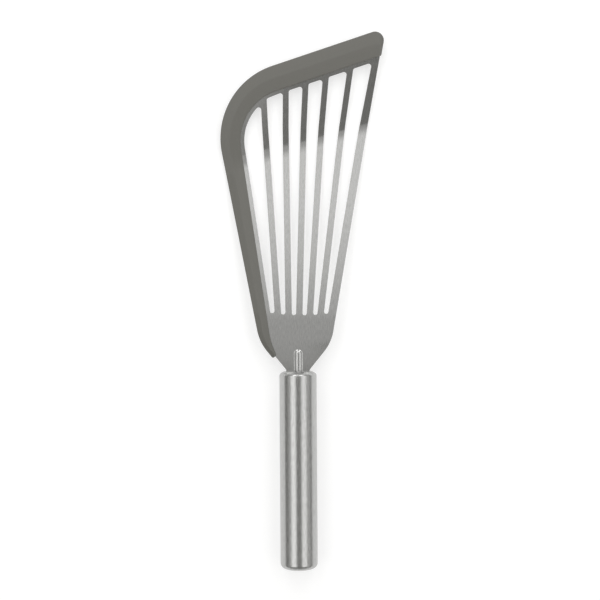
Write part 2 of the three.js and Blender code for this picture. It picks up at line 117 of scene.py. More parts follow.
# %% [markdown]
# ## The press
#
# A press forms the flat blank in two places. The palm dips from the handle to the table in a gentle
# bend below the neck, and the tip turns up in a tight bend, slanted nearly as much as the leading edge.
# Bending by formula keeps the length of the metal, as a real press does. A lattice or a simple-deform
# modifier could bend it too, but neither follows a slanted line so easily.

# %% Bend a flat point to its place on the blade
NECK_BEND_START = 14
NECK_BEND_LENGTH = 20
NECK_BEND_ANGLE = math.radians(5.05)
TIP_BEND_START = 122.9
TIP_BEND_LENGTH = 10
TIP_BEND_ANGLE = math.radians(13)
TIP_BEND_SLANT = 15
LEADING_ANGLE = 18.4
LEADING_REACH = 185.45

leading_edge = edge(0, LEADING_REACH, 180 + LEADING_ANGLE)
tip_normal = outward(edge(0, 0, 180 + TIP_BEND_SLANT), 1)[0]


def bent(past, z, length, angle):
    """How far along and how high a point lies after a bend, down if the angle is negative."""
    if past <= 0:
        return past, z
    radius = length / angle
    swing = angle * min(past / length, 1)
    straight = max(past - length, 0)
    along = (radius - z) * math.sin(swing) + straight * math.cos(swing)
    return along, radius - (radius - z) * math.cos(swing) + straight * math.sin(swing)


def pressed(point):
    """A point of the flat blank, in millimetres, moved to its place beside the handle."""
    flat = Vector(point[:2])
    past = flat.dot(tip_normal) - TIP_BEND_START
    along, z = bent(past, point[2], TIP_BEND_LENGTH, TIP_BEND_ANGLE)
    flat += tip_normal * (along - past)
    along, z = bent(flat.y - NECK_BEND_START, z, NECK_BEND_LENGTH, -NECK_BEND_ANGLE)
    return Vector((flat.x, NECK_BEND_START + along, z))


# %% Cut a flat mesh along the bend lines
NECK_CUTS = 20
TIP_CUTS = 20


def slice_mesh(mesh, place, normal, faces=None):
    """Cuts the mesh, or only the given faces, along a plane, and keeps both halves."""
    faces = faces if faces is not None else mesh.faces[:]
    geometry = list({part for face in faces for part in (*face.verts, *face.edges, face)})
    bmesh.ops.bisect_plane(mesh, geom=geometry, plane_co=place, plane_no=normal, dist=1e-5)


def ready_to_bend(mesh):
    """Cuts the flat mesh finely wherever the press bends it."""
    for step in range(NECK_CUTS + 1):
        place = (0, NECK_BEND_START + NECK_BEND_LENGTH * step / NECK_CUTS, 0)
        slice_mesh(mesh, place, (0, 1, 0))
    for step in range(TIP_CUTS + 1):
        place = tip_normal * (TIP_BEND_START + TIP_BEND_LENGTH * step / TIP_CUTS)
        slice_mesh(mesh, place.to_3d(), tip_normal.to_3d())


# %% [markdown]
# ## From a mesh to a piece of the spatula
#
# Every piece goes through the same last steps: it becomes an object in metres, it is shaded smooth,
# it rides on the CAD body, and it stands in for its CAD node. Smooth shading alone smears light over a
# flat face with rounded edges, and steel shows every smear. Pressed pieces therefore bring their own
# normals, and turned ones get a weighted-normal modifier, which lets the broad faces decide.

# %% Make a piece from a mesh
def piece_from(mesh, name, normals=None):
    """Turns a bmesh, already in the scene's frame, into a shaded piece of the spatula."""
    data = bpy.data.meshes.new(name)
    mesh.to_mesh(data)
    mesh.free()
    data.shade_smooth()
    piece = bpy.data.objects.new(name, data)
    bpy.context.scene.collection.objects.link(piece)
    if normals:
        data.normals_split_custom_set(normals)
    else:
        shading = piece.modifiers.new("flats lead the shading", "WEIGHTED_NORMAL")
        shading.weight = 100
        shading.keep_sharp = True
    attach(piece, "root")
    print(f"{name}: {len(data.polygons)} faces")
    return piece


# %% [markdown]
# The normals are taken while the sheet is still flat, where a flat face points straight up or down
# and a rounded edge blends into it. They are then turned with the metal as it is pressed. The flat
# coordinates are kept as a UV map, because the brush marks were put on the steel before it was pressed.

# %% Press a flat mesh with its normals
LEVEL = 0.999
STEP = 0.01


def flat_normal(corner):
    """The shading normal of a flat mesh at one corner: a level face wins over the edges beside it."""
    faces = corner.link_faces
    level = [face.normal for face in faces if abs(face.normal.z) > LEVEL]
    blend = sum((face.normal * face.calc_area() for face in faces), Vector())
    return (level[0] if level else blend).normalized()


def directions(x, y, relief):
    """The pressed sheet's own directions at a place: across the blade, along it, and up from it."""
    def surface(u, v):
        return pressed((u, v, relief(u, v)))

    across = (surface(x + STEP, y) - surface(x - STEP, y)).normalized()
    along = (surface(x, y + STEP) - surface(x, y - STEP)).normalized()
    return across, along, across.cross(along).normalized()


def press_mesh(mesh, relief):
    """Moves a flat mesh to its place in the scene, and returns the normal of each face corner."""
    mesh.normal_update()
    turn = to_scene.to_quaternion()
    turned_normals = {}
    places = {}
    for corner in mesh.verts:
        x, y, z = corner.co
        across, along, up = directions(x, y, relief)
        flat = flat_normal(corner)
        normal = across * flat.x + along * flat.y + up * flat.z
        turned_normals[corner.index] = turn @ normal.normalized()
        places[corner.index] = to_scene @ pressed((x, y, z + relief(x, y)))
    normals = [turned_normals[loop.vert.index] for face in mesh.faces for loop in face.loops]
    for corner in mesh.verts:
        corner.co = places[corner.index]
    return normals


UV_PER_MM = 0.004
UPRIGHT_SHARE = 0.3


def flat_uv(mesh):
    """A UV map of the flat drawing, with a little of z so that upright edges have a direction too."""
    layer = mesh.loops.layers.uv.new("flat")
    for face in mesh.faces:
        for loop in face.loops:
            x, y, z = loop.vert.co
            rise = UPRIGHT_SHARE * z
            loop[layer].uv = (0.5 + UV_PER_MM * (x + rise), UV_PER_MM * (y + rise))


def sharpen(mesh, angle=35):
    """Marks creases sharper than the angle, which keep a hard line in the shading."""
    for line in mesh.edges:
        if len(line.link_faces) == 2 and line.calc_face_angle() > math.radians(angle):
            line.smooth = False


# %% [markdown]
# ## The blade
#
# The blade is one stainless sheet, 1 mm thick, punched with six slots that fan out towards
# the tip. A filled two-dimensional curve is the natural tool for it: the outer spline is the blank,
# each inner spline becomes a hole, and the curve's own bevel gives the softened edge that tumbling
# leaves on punched steel. Boolean cuts would work as well, but leave no rounded edge.

# %% The outline of the blank
SHEET = 1
EDGE_SOFTENING = 0.16
TANG_WIDTH = 12.4
TANG_LENGTH = 30
NECK_WIDTH = 13
NECK_FLARE_ANGLE = 39
PALM_WIDTH = 45.3
SIDE_ANGLE = 9.85
SLOT_ROOT = 32.6
SHOULDER_RADIUS = 26
LEADING_OVERHANG = 6.8
CORNER_RADIUS = 45
TIP_CORNER_RADIUS = 3
NECK_RADIUS = 7
TANG_CORNER_RADIUS = 2

right_side = edge(PALM_WIDTH / 2, SLOT_ROOT, 90 - SIDE_ANGLE)
left_side = edge(-PALM_WIDTH / 2, SLOT_ROOT, 270 + SIDE_ANGLE)
steel_top = outward(leading_edge, -LEADING_OVERHANG)
right_flare = edge(NECK_WIDTH / 2, 0, 90 - NECK_FLARE_ANGLE)
left_flare = edge(-NECK_WIDTH / 2, 0, 270 + NECK_FLARE_ANGLE)

blank_outline = rounded([
    (right_side, TIP_CORNER_RADIUS, 8),
    (steel_top, CORNER_RADIUS - LEADING_OVERHANG, 32),
    (left_side, SHOULDER_RADIUS, 16),
    (left_flare, NECK_RADIUS, 10),
    (edge(-TANG_WIDTH / 2, 0, 270), TANG_CORNER_RADIUS, 6),
    (edge(0, -TANG_LENGTH, 0), TANG_CORNER_RADIUS, 6),
    (edge(TANG_WIDTH / 2, 0, 90), NECK_RADIUS, 10),
    (right_flare, SHOULDER_RADIUS, 16),
])

# %% The slots between the bars
SIDE_BAR_WIDTH = 4.8
LEFT_BAR_WIDTH = 6.8
LEFT_SLOT_ANGLE = 8.55
LEFT_SLOT_RADIUS = 29
SLOT_CORNER_RADIUS = 1.5
SLOT_ROOT_ROUND = 0.48
SLOT_ROOT_ARC = 116
SLOT_ROOT_CENTRE = 3
LEADING_BAND = 14.7
LEADING_BARE_STRIP = 1.9
BAR_ROOT_WIDTH = 3.85
BAR_TIP_WIDTH = 3.65
BAR_TIP_Y = 150
BAR_TIP_SHARES = (0.2, 0.374, 0.526, 0.678, 0.853)
BAR_LEAN_START = 145
BAR_LEAN = 0.02

window_left = edge(LEFT_BAR_WIDTH - PALM_WIDTH / 2, SLOT_ROOT, 270 + LEFT_SLOT_ANGLE)
window_right = outward(right_side, -SIDE_BAR_WIDTH)
window_top = outward(leading_edge, -LEADING_BAND - LEADING_BARE_STRIP)
window_centre = crossing(
    outward(window_left, -LEFT_SLOT_RADIUS), outward(window_top, -LEFT_SLOT_RADIUS)
)


def window_top_at(x):
    """The upper edge of the window above x: straight, or a tangent of its round left corner."""
    arc_end = outward((window_centre, window_top[1]), LEFT_SLOT_RADIUS)[0]
    if x > arc_end.x:
        return window_top
    swing = math.acos((x - window_centre.x) / LEFT_SLOT_RADIUS)
    touch = window_centre + Vector((math.cos(swing), math.sin(swing))) * LEFT_SLOT_RADIUS
    return edge(touch.x, touch.y, 90 + math.degrees(swing))


def window_at(y):
    """The two ends of the window's width at a height on the blank."""
    level = edge(0, y, 0)
    return crossing(window_left, level).x, crossing(window_right, level).x


root_left, root_right = window_at(SLOT_ROOT)
tip_left, tip_right = window_at(BAR_TIP_Y)
bar_count = len(BAR_TIP_SHARES)
slot_width = (root_right - root_left - bar_count * BAR_ROOT_WIDTH) / (bar_count + 1)
bar_roots = [root_left + slot_width * (i + 1) + BAR_ROOT_WIDTH * (i + 0.5) for i in range(bar_count)]
bar_tips = [tip_left + (tip_right - tip_left) * share for share in BAR_TIP_SHARES]


def bar_side(index, side, heading):
    """One side of a bar, -1 left or 1 right, run up (90) or down (270) the blade."""
    root = bar_roots[index] + side * BAR_ROOT_WIDTH / 2
    tip = bar_tips[index] + side * BAR_TIP_WIDTH / 2
    lean = math.degrees(math.atan2(tip - root, BAR_TIP_Y - SLOT_ROOT))
    return edge(root, SLOT_ROOT, heading - lean)


def root_level(left, right):
    """How far up a slot begins: the roots of all slots touch one shallow arc."""
    root = edge(0, SLOT_ROOT, 0)
    x = (crossing(left, root).x + crossing(right, root).x) / 2 - SLOT_ROOT_CENTRE
    return SLOT_ROOT + SLOT_ROOT_ARC - math.sqrt(SLOT_ROOT_ARC**2 - x**2)


def slot_outline(index):
    first = index == 0
    left = window_left if first else bar_side(index - 1, 1, 270)
    right = window_right if index == bar_count else bar_side(index, -1, 90)
    root = edge(0, root_level(left, right), 0)
    root_radius = (crossing(right, root).x - crossing(left, root).x) * SLOT_ROOT_ROUND
    level = edge(0, window_centre.y + LEFT_SLOT_RADIUS / 2, 0)
    right_x = crossing(right, level).x
    middle_x = (right_x + crossing(left, level).x) / 2
    top = window_top_at(right_x - 2 * SLOT_CORNER_RADIUS if first else middle_x)
    return rounded([
        (right, SLOT_CORNER_RADIUS, 8),
        (top, LEFT_SLOT_RADIUS if first else SLOT_CORNER_RADIUS, 24 if first else 8),
        (left, root_radius, 8),
        (root, root_radius, 8),
    ])


def leaning(outline):
    """The outline with its far end sheared to the right, as the bars lean beyond the tip bend."""
    points = []
    for start, end in zip(outline, outline[1:] + outline[:1]):
        points.append(start)
        if (start.y - BAR_LEAN_START) * (end.y - BAR_LEAN_START) < 0:
            points.append(start.lerp(end, (BAR_LEAN_START - start.y) / (end.y - start.y)))
    return [Vector((p.x + BAR_LEAN * max(p.y - BAR_LEAN_START, 0), p.y)) for p in points]


slot_outlines = [leaning(slot_outline(index)) for index in range(bar_count + 1)]
print(f"blank: {len(blank_outline)} points, {len(slot_outlines)} slots")


# %% Punch the blank
def punched(name, outlines, thickness, softening):
    """A flat mesh from an outer outline and its holes, with softened edges."""
    curve = bpy.data.curves.new(name, "CURVE")
    curve.dimensions = "2D"
    curve.fill_mode = "BOTH"
    curve.extrude = thickness / 2 - softening
    curve.bevel_depth = softening
    curve.bevel_resolution = 2
    curve.offset = -softening
    for outline in outlines:
        spline = curve.splines.new("POLY")
        spline.points.add(len(outline) - 1)
        for corner, point in zip(spline.points, outline):
            corner.co = (point.x, point.y, 0, 1)
        spline.use_cyclic_u = True
    drawing = bpy.data.objects.new(name, curve)
    flat = drawing.to_mesh()
    mesh = bmesh.new()
    mesh.from_mesh(flat)
    drawing.to_mesh_clear()
    bpy.data.objects.remove(drawing)
    bpy.data.curves.remove(curve)
    bmesh.ops.remove_doubles(mesh, verts=mesh.verts[:], dist=1e-4)
    bmesh.ops.recalc_face_normals(mesh, faces=mesh.faces[:])
    return mesh


blade = punched("blank", [blank_outline, *slot_outlines], SHEET, EDGE_SOFTENING)
print(f"punched blank: {len(blade.faces)} faces")

# %% [markdown]
# ### The rib on the neck
#
# A bead is pressed up along the neck to stiffen it, a hair to the right of the middle. Metal is only
# pushed there, not added, so both faces of the sheet rise together. The neck is cut into a fine grid
# and its points are raised by a smooth profile: flat on the blank, round over the top, with a soft foot.
# Each point also keeps how far it is up the rib, because stretched steel loses some of its shine.

# %% Raise the rib
RIB_WIDTH = 4.4
RIB_HEIGHT = 0.95
RIB_MIDDLE = 0.3
RIB_END = 12.5
RIB_RUN_OUT = 2.4
RIB_GRID = 0.2
RIB_FOOT = 0.45
RIB_FULLNESS = 0.9
STRETCH_GAIN = 4
rib_reach = RIB_WIDTH / 2 + RIB_FOOT


def near_rib(mesh, reach):
    """The faces of the neck whose middle is within reach of the rib's line."""
    centres = [(face, face.calc_center_median()) for face in mesh.faces]
    return [face for face, c in centres if abs(c.x - RIB_MIDDLE) < reach and c.y < RIB_END]


def rib_height(x, y):
    """Height of the pressed rib at a place on the flat blank."""
    past_spine = max(y - RIB_END + RIB_RUN_OUT, 0)
    away = math.hypot((x - RIB_MIDDLE) / rib_reach, past_spine / RIB_RUN_OUT)
    if away >= 1:
        return 0
    return RIB_HEIGHT * (1 - away**2) ** 2 * (1 + RIB_FULLNESS * away**2)


ready_to_bend(blade)
slice_mesh(blade, (0, RIB_END, 0), (0, 1, 0))
for side in (-1, 1):
    slice_mesh(blade, (RIB_MIDDLE + side * rib_reach, 0, 0), (1, 0, 0), near_rib(blade, PALM_WIDTH))
for step in range(1, math.ceil(2 * rib_reach / RIB_GRID)):
    place = (RIB_MIDDLE - rib_reach + step * RIB_GRID, 0, 0)
    slice_mesh(blade, place, (1, 0, 0), near_rib(blade, rib_reach))
for step in range(1, math.ceil(RIB_RUN_OUT / RIB_GRID) + 1):
    place = (0, RIB_END - step * RIB_GRID, 0)
    slice_mesh(blade, place, (0, 1, 0), near_rib(blade, rib_reach))
bmesh.ops.remove_doubles(blade, verts=blade.verts[:], dist=1e-3)
stretch = blade.verts.layers.float.new("stretch")
for corner in blade.verts:
    corner[stretch] = min(1, STRETCH_GAIN * rib_height(corner.co.x, corner.co.y) / RIB_HEIGHT)
flat_uv(blade)
blade.verts.index_update()
blade_normals = press_mesh(blade, rib_height)
blade = piece_from(blade, "blade_sheet", blade_normals)
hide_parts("blade")

# %% [markdown]
# ## The soft edge
#
# Grey silicone is moulded round the left side and the leading edge, so that the blade slides on a pan
# without scratching it. Its section is a flat lip over the steel and a long bevel down to a thin nose.
# It is lofted: the same outline is drawn at several heights, each a little further in or out, and
# the outlines are joined. Sweeping one section along a path could not follow the bevel, which is wide
# on the leading edge and narrow along the side.

# %% Outlines of the soft edge
SIDE_OVERHANG = 2.94
SIDE_EDGE_ANGLE = 11.1
TIP_OVERHANG = 0.75
TIP_RADIUS = 5.2
SIDE_BARE_STRIP = 2.4
FLARE_OVERHANG = 1.8
TAIL_END_Y = 8.4
TAIL_OVERLAP = 1
TAIL_ANGLE = 22
TAIL_INNER_RADIUS = 40
TAIL_POINT_RADIUS = 1
TAIL_CORNER_RADIUS = 0.2
LIP_END_RADIUS = 0.6
RIDGE_SETBACK = 0.4

band_top = outward(leading_edge, -LEADING_BAND)
band_left = outward(window_left, SIDE_BARE_STRIP)
side_edge = edge(-PALM_WIDTH / 2 - SIDE_OVERHANG, SLOT_ROOT, 270 + SIDE_EDGE_ANGLE)
tail_point = crossing(left_flare, edge(0, TAIL_END_Y, 0))
tail_cut = edge(tail_point.x, tail_point.y, NECK_FLARE_ANGLE)
tail_inner = tail_point + tail_cut[1] * TAIL_OVERLAP
tail_edge = edge(tail_inner.x, tail_inner.y, 90 + TAIL_ANGLE)


def backwards(line):
    return line[0], -line[1]


def soft_outline(outer, inset):
    """The soft edge's outline: its outer edges as given, its inner lip moved in by an inset."""
    lip_radius = LEFT_SLOT_RADIUS + SIDE_BARE_STRIP + inset
    return rounded([
        *outer,
        (outward(tail_edge, -inset), TAIL_INNER_RADIUS, 8),
        (outward(backwards(band_left), -inset), lip_radius, 32),
        (outward(backwards(band_top), -inset), LIP_END_RADIUS, 4),
    ])


def rim(setback, inset):
    """The outermost line, set back by a distance."""
    return soft_outline([
        (outward(right_side, TIP_OVERHANG - setback), TIP_RADIUS - setback, 16),
        (outward(leading_edge, -setback), CORNER_RADIUS - setback, 32),
        (outward(side_edge, -setback), SHOULDER_RADIUS + FLARE_OVERHANG, 16),
        (outward(left_flare, FLARE_OVERHANG - setback), TAIL_POINT_RADIUS - setback, 6),
        (outward(tail_cut, -setback), TAIL_CORNER_RADIUS, 3),
    ], inset)


def ridge(setback, inset):
    """The line where the bevel meets the flat lip, just inside the rim of the steel."""
    corner = CORNER_RADIUS - LEADING_OVERHANG - setback
    return soft_outline([
        (outward(right_side, -setback), TIP_CORNER_RADIUS - setback, 16),
        (outward(steel_top, -setback), corner, 32),
        (outward(left_side, -setback), SHOULDER_RADIUS - setback, 16),
        (outward(left_flare, -RIDGE_SETBACK), TAIL_CORNER_RADIUS, 6),
        (outward(tail_cut, -RIDGE_SETBACK), TAIL_CORNER_RADIUS, 3),
    ], inset)


# %% Loft the soft edge
LIP_HEIGHT = 1.5
LIP_ROUND = 0.35
NOSE_HALF = 0.5
NOSE_SETBACK = 0.3
LIP_TOP = SHEET / 2 + LIP_HEIGHT


def lip_inset(z):
    """How far the rounded lip has drawn in at a height."""
    rise = max(z - (LIP_TOP - LIP_ROUND), 0)
    return LIP_ROUND - math.sqrt(max(LIP_ROUND**2 - rise**2, 0))


def bevel_ring(share, drop=0):
    """An outline on the bevel, from the ridge (share 0) to the nose (share 1)."""
    z = LIP_TOP - (LIP_TOP - NOSE_HALF) * share - drop
    inset = lip_inset(z)
    pairs = zip(ridge(RIDGE_SETBACK, inset), rim(NOSE_SETBACK, inset))
    return [inner.lerp(outer, share) for inner, outer in pairs], z


def lip_ring(setback, drop):
    """An outline on the flat lip, a little inside the ridge and a little below the top."""
    z = LIP_TOP - drop
    return ridge(RIDGE_SETBACK + setback, lip_inset(z)), z


upper_rings = [
    (rim(0, 0), 0.12),
    (rim(0.06, 0), 0.3),
    (rim(0.18, 0), 0.43),
    bevel_ring(0.97),
    bevel_ring(0.9),
    bevel_ring(0.5),
    bevel_ring(0.14),
    bevel_ring(0.06, 0.014),
    lip_ring(0, 0.035),
    lip_ring(0.35, 0.01),
    lip_ring(0.8, 0),
]
rings = [(points, -z) for points, z in reversed(upper_rings)] + upper_rings

soft = bmesh.new()
loops = [[soft.verts.new((p.x, p.y, z)) for p in points] for points, z in rings]
for low, high in zip(loops, loops[1:]):
    for a, b, c, d in zip(low, low[1:] + low[:1], high[1:] + high[:1], high):
        soft.faces.new((a, b, c, d))
soft.faces.new(loops[0][::-1])
soft.faces.new(loops[-1])
soft.normal_update()
ends = [face for face in soft.faces if len(face.verts) > 4]
bmesh.ops.triangulate(soft, faces=ends, ngon_method="EAR_CLIP")
ready_to_bend(soft)
flat_uv(soft)
soft.verts.index_update()
soft_normals = press_mesh(soft, lambda x, y: 0)
soft_edge = piece_from(soft, "soft_edge", soft_normals)
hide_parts("silicone_edge")

# %% [markdown]
# ## The handle
#
# The handle is a drawn stainless tube closed by two caps, ground smooth so that no joint shows.
# Anything round about one axis is quickest to make as a lathe: a half profile of radius and length,
# repeated round the axis. A scaled cylinder would leave the ends sharp. The UV map runs along the tube,
# as the brush does, and straight across the flat ends, where it would otherwise make a star.

# %% Turn a profile on a lathe
TURNS = 128
AROUND = 2 * math.pi * handle_radius


def turned(profile):
    """A closed mesh turned about the handle's axis from (radius, y) pairs in millimetres."""
    mesh = bmesh.new()
    uv = mesh.loops.layers.uv.new("flat")
    rows = []
    for radius, y in profile:
        angles = [2 * math.pi * turn / TURNS for turn in range(TURNS)]
        rows.append([mesh.verts.new((radius * math.sin(a), y, radius * math.cos(a))) for a in angles])
    for low, high in zip(rows, rows[1:]):
        for turn in range(TURNS):
            following = (turn + 1) % TURNS
            face = mesh.faces.new((low[turn], low[following], high[following], high[turn]))
            marks = (turn, turn + 1, turn + 1, turn)
            for loop, mark in zip(face.loops, marks):
                loop[uv].uv = (mark / TURNS, UV_PER_MM * loop.vert.co.y)
    bmesh.ops.remove_doubles(mesh, verts=mesh.verts[:], dist=1e-5)
    bmesh.ops.recalc_face_normals(mesh, faces=mesh.faces[:])
    for face in mesh.faces:
        if abs(face.normal.y) > LEVEL:
            for loop in face.loops:
                loop[uv].uv = (loop.vert.co.x / AROUND, UV_PER_MM * loop.vert.co.z)
    return mesh


def placed(mesh):
    sharpen(mesh)
    bmesh.ops.transform(mesh, matrix=to_scene, verts=mesh.verts[:])
    return mesh


# %% The tube
TUBE_WALL = 0.8
FRONT_CAP_LENGTH = 5
BUTT_CAP_LENGTH = 7

bore_radius = handle_radius - TUBE_WALL
tube_front = -FRONT_CAP_LENGTH
tube_back = BUTT_CAP_LENGTH - handle_length
tube_profile = [
    (bore_radius, tube_back),
    (handle_radius, tube_back),
    (handle_radius, tube_front),
    (bore_radius, tube_front),
    (bore_radius, tube_back),
]
tube = piece_from(placed(turned(tube_profile)), "brushed_tube")
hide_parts("handle_tube")

# %% [markdown]
# ### The two ends
#
# The front cap is slightly domed, with a broad flattened round, and slotted for the blade's neck and
# rib. The butt cap has a plain round and a flat end. Both profiles are one function: a flat disc,
# a quarter of an ellipse, a short cylinder and a skirt that sits inside the tube.

# %% The caps
FRONT_CAP_ROUND = 2.8
FRONT_CAP_RIM = 6
BUTT_CAP_ROUND = 3.2
CAP_PLATE = 3
SKIRT_LENGTH = 5
SKIRT_WALL = 1.4
FIT_CLEARANCE = 0.3
ROUND_STEPS = 16


def cap_profile(length, roundness, rim_width):
    """A cap with its outer face at y = 0 and the end of the tube at y = -length."""
    fit = bore_radius - FIT_CLEARANCE
    skirt_end = -length - SKIRT_LENGTH
    swings = [math.pi / 2 * step / ROUND_STEPS for step in range(ROUND_STEPS + 1)]
    flat = handle_radius - rim_width
    quarter = [(flat + rim_width * math.sin(s), roundness * (math.cos(s) - 1)) for s in swings]
    shoulder = [(handle_radius, -length), (fit, -length), (fit, skirt_end)]
    inside = [(fit - SKIRT_WALL, skirt_end), (fit - SKIRT_WALL, -CAP_PLATE), (0, -CAP_PLATE)]
    return [(0, 0), *quarter, *shoulder, *inside]


butt_end = cap_profile(BUTT_CAP_LENGTH, BUTT_CAP_ROUND, BUTT_CAP_ROUND)
butt_profile = [(radius, -y - handle_length) for radius, y in butt_end]
butt = piece_from(placed(turned(butt_profile)), "brushed_butt_cap")
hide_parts("butt_cap")

# %% [markdown]
# The slot in the front cap is cut with a Boolean modifier, which is then applied. The cutter is a block
# the size of the neck plus a clearance, with a round bar on top for the rib.

# %% Slot the front cap
CUTTER_LENGTH = 30


def slot_cutter():
    mesh = bmesh.new()
    width = NECK_WIDTH + 2 * FIT_CLEARANCE
    height = SHEET + 2 * FIT_CLEARANCE
    block = Matrix.Diagonal((width, CUTTER_LENGTH, height, 1))
    bmesh.ops.create_cube(mesh, size=1, matrix=block)
    rib_radius = RIB_WIDTH / 2 + FIT_CLEARANCE
    rib_rise = (SHEET / 2 + RIB_HEIGHT + FIT_CLEARANCE) / rib_radius
    lying = Matrix.Diagonal((1, 1, rib_rise, 1)) @ Matrix.Rotation(math.pi / 2, 4, "X")
    lying = Matrix.Translation((RIB_MIDDLE, 0, 0)) @ lying
    bmesh.ops.create_cone(
        mesh, cap_ends=True, segments=48,
        radius1=rib_radius, radius2=rib_radius, depth=CUTTER_LENGTH, matrix=lying,
    )
    return mesh


def cut_from(mesh, cutter):
    """The mesh with another mesh cut away."""
    bodies = []
    for name, part in (("body", mesh), ("cutter", cutter)):
        data = bpy.data.meshes.new(name)
        part.to_mesh(data)
        part.free()
        bodies.append(bpy.data.objects.new(name, data))
        bpy.context.scene.collection.objects.link(bodies[-1])
    cut = bodies[0].modifiers.new("slot", "BOOLEAN")
    cut.object = bodies[1]
    cut.solver = "EXACT"
    cut.use_self = True
    result = bmesh.new()
    result.from_object(bodies[0], bpy.context.evaluated_depsgraph_get())
    for body in bodies:
        bpy.data.meshes.remove(body.data)
    return result


front_profile = cap_profile(FRONT_CAP_LENGTH, FRONT_CAP_ROUND, FRONT_CAP_RIM)
front_mesh = cut_from(turned(front_profile), slot_cutter())
front = piece_from(placed(front_mesh), "brushed_front_cap")
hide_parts("front_cap")

# %% [markdown]
# ## Materials
#
# Colours are written as sRGB hex values, as a colour picker gives them, and turned to linear light by
# one function. One more function adds a node to a material, sets it and links it, so that each
# material reads as a short list of what its surface does.

# %% Colour and node helpers
def linear(colour):
    """An sRGB hex colour as linear RGBA."""
    parts = [int(colour[i:i + 2], 16) / 255 for i in (1, 3, 5)]
    return (*[p / 12.92 if p <= 0.04045 else ((p + 0.055) / 1.055) ** 2.4 for p in parts], 1)


def add(tree, kind, inputs=None, **settings):
    """Adds a node, sets its properties, and fills its inputs with values or links."""
    node = tree.nodes.new(kind)
    for name, value in settings.items():
        setattr(node, name, value)
    for name, value in (inputs or {}).items():
        if isinstance(value, bpy.types.NodeSocket):
            tree.links.new(value, node.inputs[name])
        else:
            node.inputs[name].default_value = value
    return node


def new_material(name):
    material = bpy.data.materials.new(name)
    material.use_nodes = True
    material.node_tree.nodes.clear()
    return material, material.node_tree


# %% [markdown]
# ### Brushed stainless sheet
#
# The blade is cold-rolled stainless steel, brushed lengthwise on a belt before pressing. The belt
# leaves grooves about 0.05 mm apart, far too fine for this picture, so they are drawn 0.5 mm wide. To
# the eye they stretch each reflection across the blade, which anisotropy gives, and break its tone into
# short streaks, which a stretched noise gives. The rib is rougher where the press stretched it, which
# softens the stripes it mirrors.

# %% Blade steel
STREAK_WIDTH_MM = 0.5
STREAK_LENGTH_MM = 3
RIB_DULLING = 0.15

blade_steel, tree = new_material("brushed_stainless_sheet")
flat_map = add(tree, "ShaderNodeUVMap", uv_map="flat")
streak_scale = (1 / (UV_PER_MM * STREAK_WIDTH_MM), 1 / (UV_PER_MM * STREAK_LENGTH_MM), 1)
streak_place = add(tree, "ShaderNodeMapping", {"Vector": flat_map.outputs["UV"], "Scale": streak_scale})
streaks = add(
    tree, "ShaderNodeTexNoise", {"Vector": streak_place.outputs["Vector"], "Scale": 1.0, "Detail": 3.0}
)
streak_roughness = add(
    tree, "ShaderNodeMapRange",
    {"Value": streaks.outputs["Fac"], "From Min": 0.3, "From Max": 0.7,
     "To Min": 0.09, "To Max": 0.12},
)
streak_tint = add(
    tree, "ShaderNodeMix",
    {"Factor": streaks.outputs["Fac"], "A": linear("#a1a1a0"), "B": linear("#c6c6c5")},
    data_type="RGBA",
)
stretched = add(tree, "ShaderNodeAttribute", attribute_name="stretch")
dulled = add(
    tree, "ShaderNodeMath",
    {0: stretched.outputs["Fac"], 1: RIB_DULLING, 2: streak_roughness.outputs["Result"]},
    operation="MULTIPLY_ADD",
)
across = add(tree, "ShaderNodeTangent", direction_type="UV_MAP", uv_map="flat")
steel = add(tree, "ShaderNodeBsdfPrincipled", {
    "Base Color": streak_tint.outputs["Result"],
    "Metallic": 1.0,
    "Roughness": dulled.outputs["Value"],
    "Anisotropic": 0.4,
    "Tangent": across.outputs["Tangent"],
})
add(tree, "ShaderNodeOutputMaterial", {"Surface": steel.outputs["BSDF"]})
blade.data.materials.append(blade_steel)

# %% [markdown]
# ### Brushed stainless tube
#
# The handle is the same steel, drawn to a tube and brushed along its length. Its grooves are as fine as
# the blade's and are drawn 0.6 mm wide. To the eye they spread every reflection round the tube, so
# that the studio shows as soft stripes from end to end. The brush is coarser here, so the roughness
# is higher.

# %% Handle steel
BRUSH_WIDTH_MM = 0.6
BRUSH_LENGTH_MM = 4

handle_steel, tree = new_material("brushed_stainless_tube")
tube_map = add(tree, "ShaderNodeUVMap", uv_map="flat")
brush_scale = (AROUND / BRUSH_WIDTH_MM, 1 / (UV_PER_MM * BRUSH_LENGTH_MM), 1)
brush_place = add(tree, "ShaderNodeMapping", {"Vector": tube_map.outputs["UV"], "Scale": brush_scale})
brush_marks = add(
    tree, "ShaderNodeTexNoise", {"Vector": brush_place.outputs["Vector"], "Scale": 1.0, "Detail": 2.0}
)
brush_roughness = add(
    tree, "ShaderNodeMapRange",
    {"Value": brush_marks.outputs["Fac"], "From Min": 0.3, "From Max": 0.7,
     "To Min": 0.19, "To Max": 0.24},
)
brush_tint = add(
    tree, "ShaderNodeMix",
    {"Factor": brush_marks.outputs["Fac"], "A": linear("#9f9f9e"), "B": linear("#cbcbca")},
    data_type="RGBA",
)
around = add(tree, "ShaderNodeTangent", direction_type="UV_MAP", uv_map="flat")
steel = add(tree, "ShaderNodeBsdfPrincipled", {
    "Base Color": brush_tint.outputs["Result"],
    "Metallic": 1.0,
    "Roughness": brush_roughness.outputs["Result"],
    "Anisotropic": 0.6,
    "Tangent": around.outputs["Tangent"],
})
add(tree, "ShaderNodeOutputMaterial", {"Surface": steel.outputs["BSDF"]})
for part in (tube, butt, front):
    part.data.materials.append(handle_steel)

